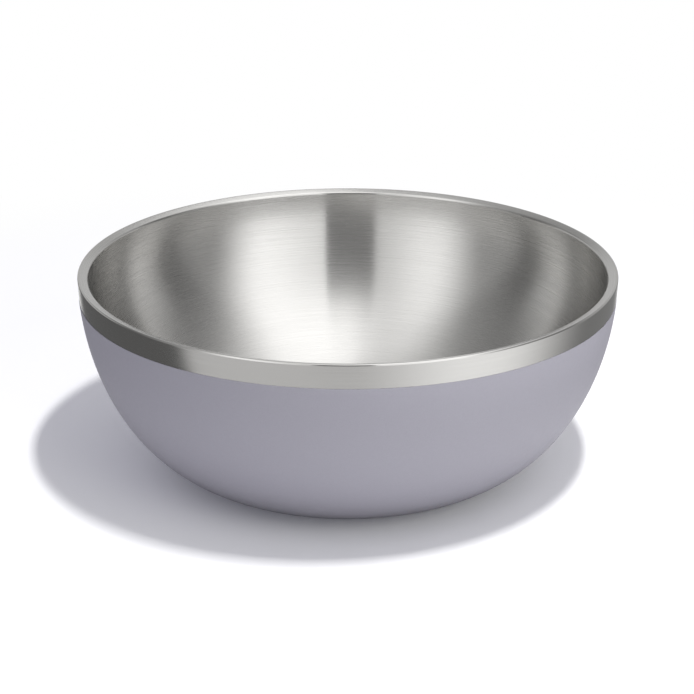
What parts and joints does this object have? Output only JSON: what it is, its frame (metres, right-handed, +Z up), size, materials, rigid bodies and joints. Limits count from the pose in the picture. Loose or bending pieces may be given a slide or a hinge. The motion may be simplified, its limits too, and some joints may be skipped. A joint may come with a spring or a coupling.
{
  "type": "insulated serving bowl",
  "caption": "Open round serving bowl with a vacuum between two steel shells: brushed inside, bare steel rim band, matte coat outside and a flat foot ring.",
  "frame": {"origin": "centre of the foot ring, on the surface that the bowl stands on", "axes": "+Z up along the bowl's axis, the rim at the top; +X and +Y in the plane of the foot"},
  "size_m": [0.255, 0.255, 0.099],
  "materials": {
    "brushed_liner": "stainless steel brushed round the axis",
    "satin_shell": "stainless steel with a fine satin polish",
    "ground_weld": "weld metal ground flush and polished",
    "matte_coat": "cured polyester powder, matte, lavender grey",
    "solder_glass": "fused solder glass, dark",
    "pressed_cover": "pressed stainless sheet, mill finish",
    "sintered_getter": "sintered alloy, dull",
    "strap_steel": "bent stainless strip, mill finish"
  },
  "bodies": {
    "root": {"inner_bowl": "brushed_liner", "outer_bowl": "satin_shell", "rim_weld": "ground_weld", "powder_coat": "matte_coat", "port_seal": "solder_glass", "base_cover": "pressed_cover", "getter_pellet": "sintered_getter", "getter_strap": "strap_steel"}
  },
  "joints": []
}
